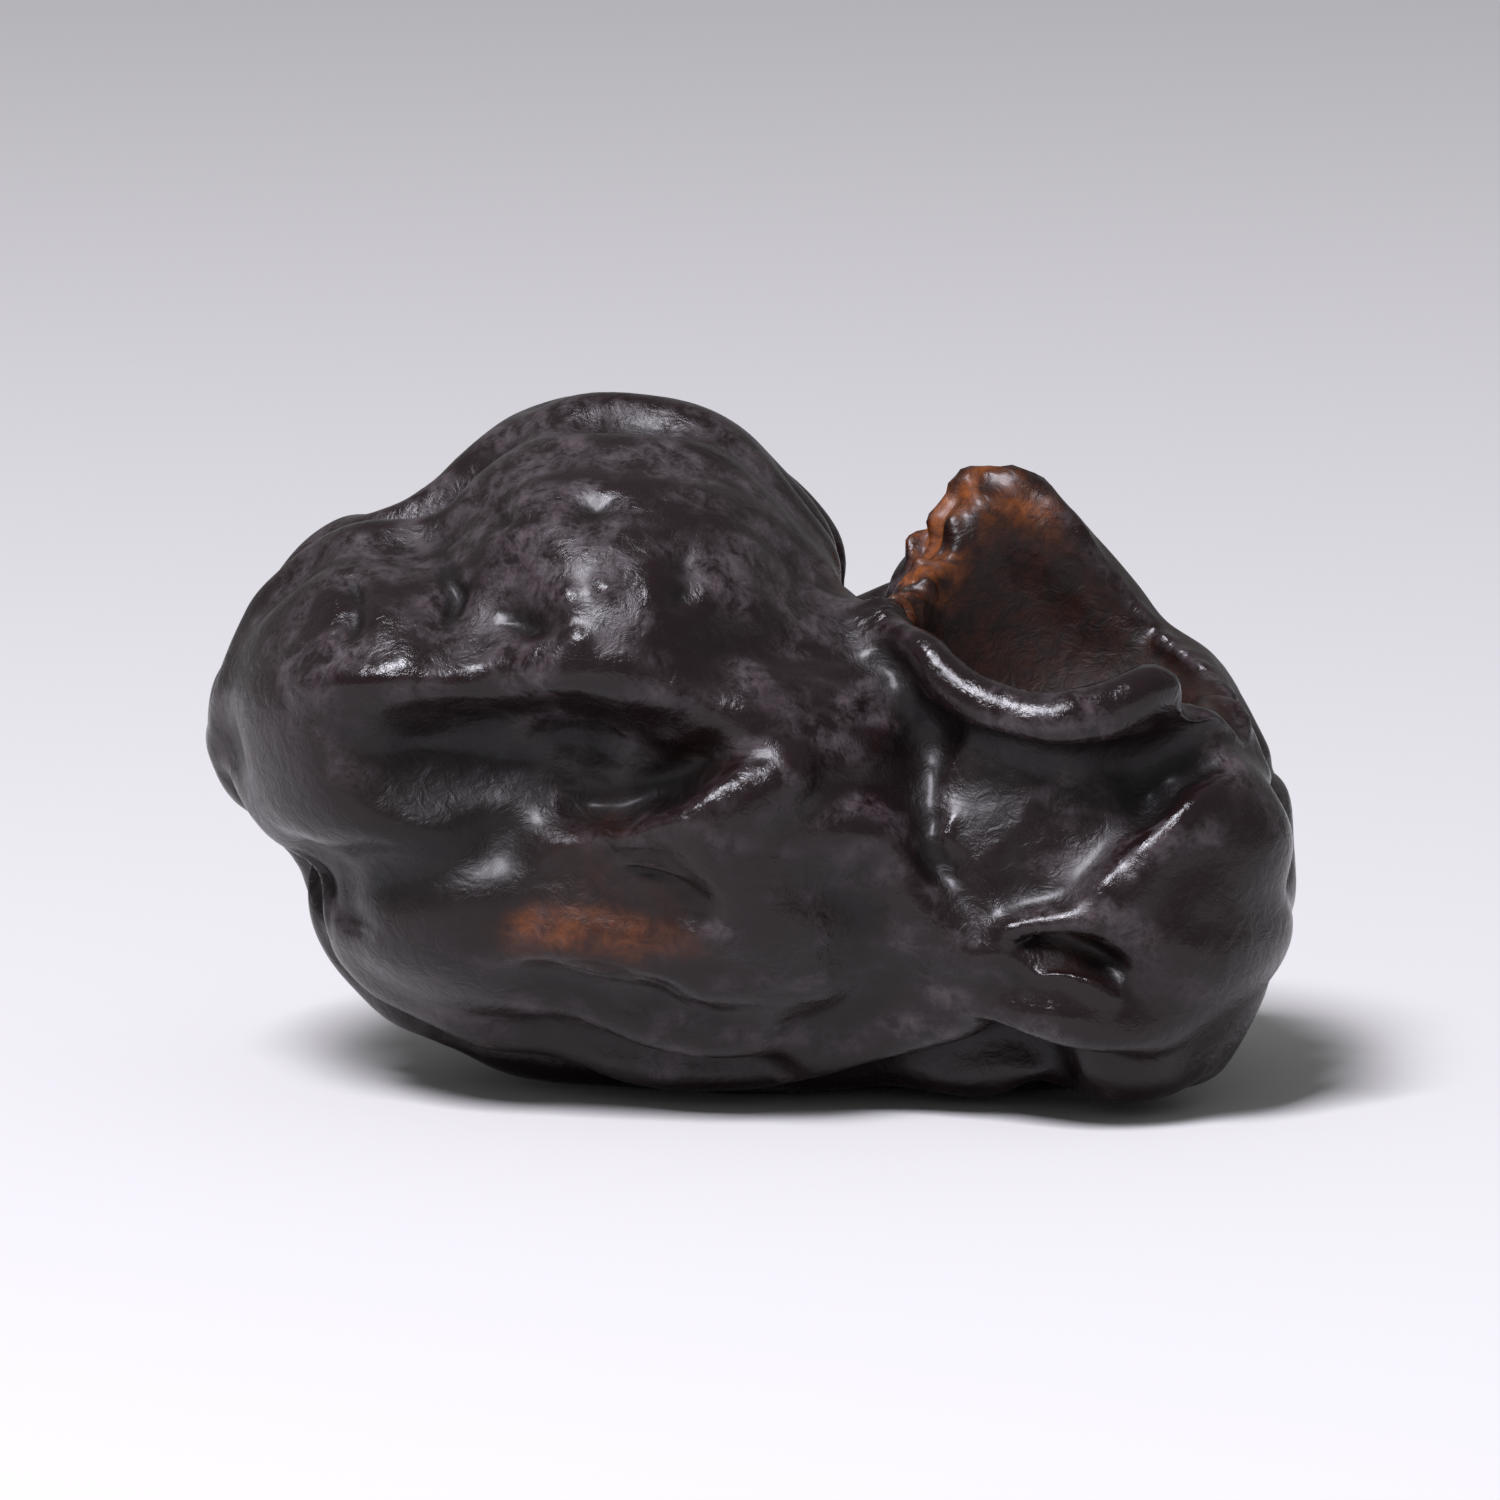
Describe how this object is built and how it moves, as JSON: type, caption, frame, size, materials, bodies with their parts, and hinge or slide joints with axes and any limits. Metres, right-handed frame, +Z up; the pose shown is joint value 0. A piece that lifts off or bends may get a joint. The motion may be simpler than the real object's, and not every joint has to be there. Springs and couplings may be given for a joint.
{
  "type": "pitted dried plum",
  "caption": "Dried plum with its stone pushed out: a full rounded lobe, lengthwise folds that meet at the far end, and a torn open mouth beside the lobe.",
  "frame": {"origin": "on the surface that the fruit rests on, under the middle of its bounding box", "axes": "+X along the fruit, from the full rounded lobe to the end where the folds meet; +Z up as it rests, with the torn mouth opening upwards; the small tear and the near lip of the mouth face -Y"},
  "size_m": [0.04, 0.027, 0.0255],
  "materials": {
    "skin": "satin, with glossy ridges and a faint grey bloom"
  },
  "bodies": {
    "root": {"plum": "skin"}
  },
  "joints": []
}
